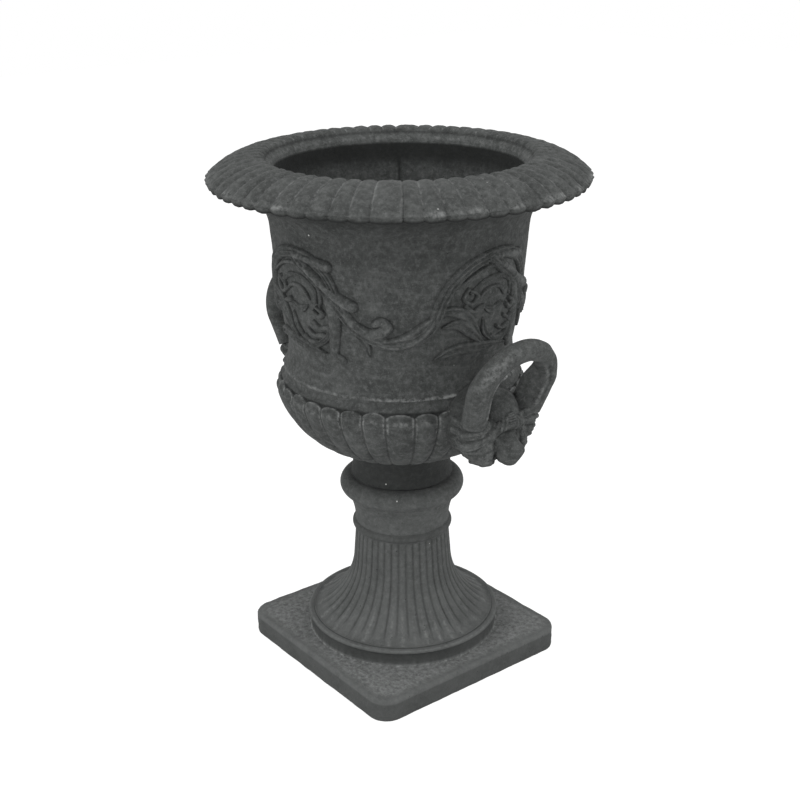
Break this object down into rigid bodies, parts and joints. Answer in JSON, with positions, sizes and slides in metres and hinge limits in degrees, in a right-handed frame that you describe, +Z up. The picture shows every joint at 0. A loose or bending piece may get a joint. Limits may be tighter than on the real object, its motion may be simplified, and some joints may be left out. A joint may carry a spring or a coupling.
{
  "type": "urn planter",
  "caption": "Footed garden urn with a wide gadrooned rim, a relief frieze, lion-head loop handles, a fluted pedestal and a square plinth.",
  "frame": {"origin": "middle of the plinth's underside, on the ground", "axes": "+Z up along the axis of the turned pieces; +X through the middle of one handle; the plinth's sides lie along X and Y"},
  "size_m": [0.497, 0.485, 0.7003],
  "materials": {
    "cast_stone": "matte, moulded, weathered",
    "rubber": "matte",
    "zinc_plated_steel": "satin zinc plate"
  },
  "bodies": {
    "root": {"plinth": "cast_stone", "pedestal": "cast_stone", "bowl": "cast_stone", "handle_right": "cast_stone", "handle_left": "cast_stone", "stem_gasket": "rubber", "handle_studs": "zinc_plated_steel", "handle_washers": "zinc_plated_steel", "handle_nuts": "zinc_plated_steel", "tie_rod": "zinc_plated_steel", "tie_bar_upper": "zinc_plated_steel", "tie_bar_lower": "zinc_plated_steel", "tie_nuts": "zinc_plated_steel"}
  },
  "joints": []
}
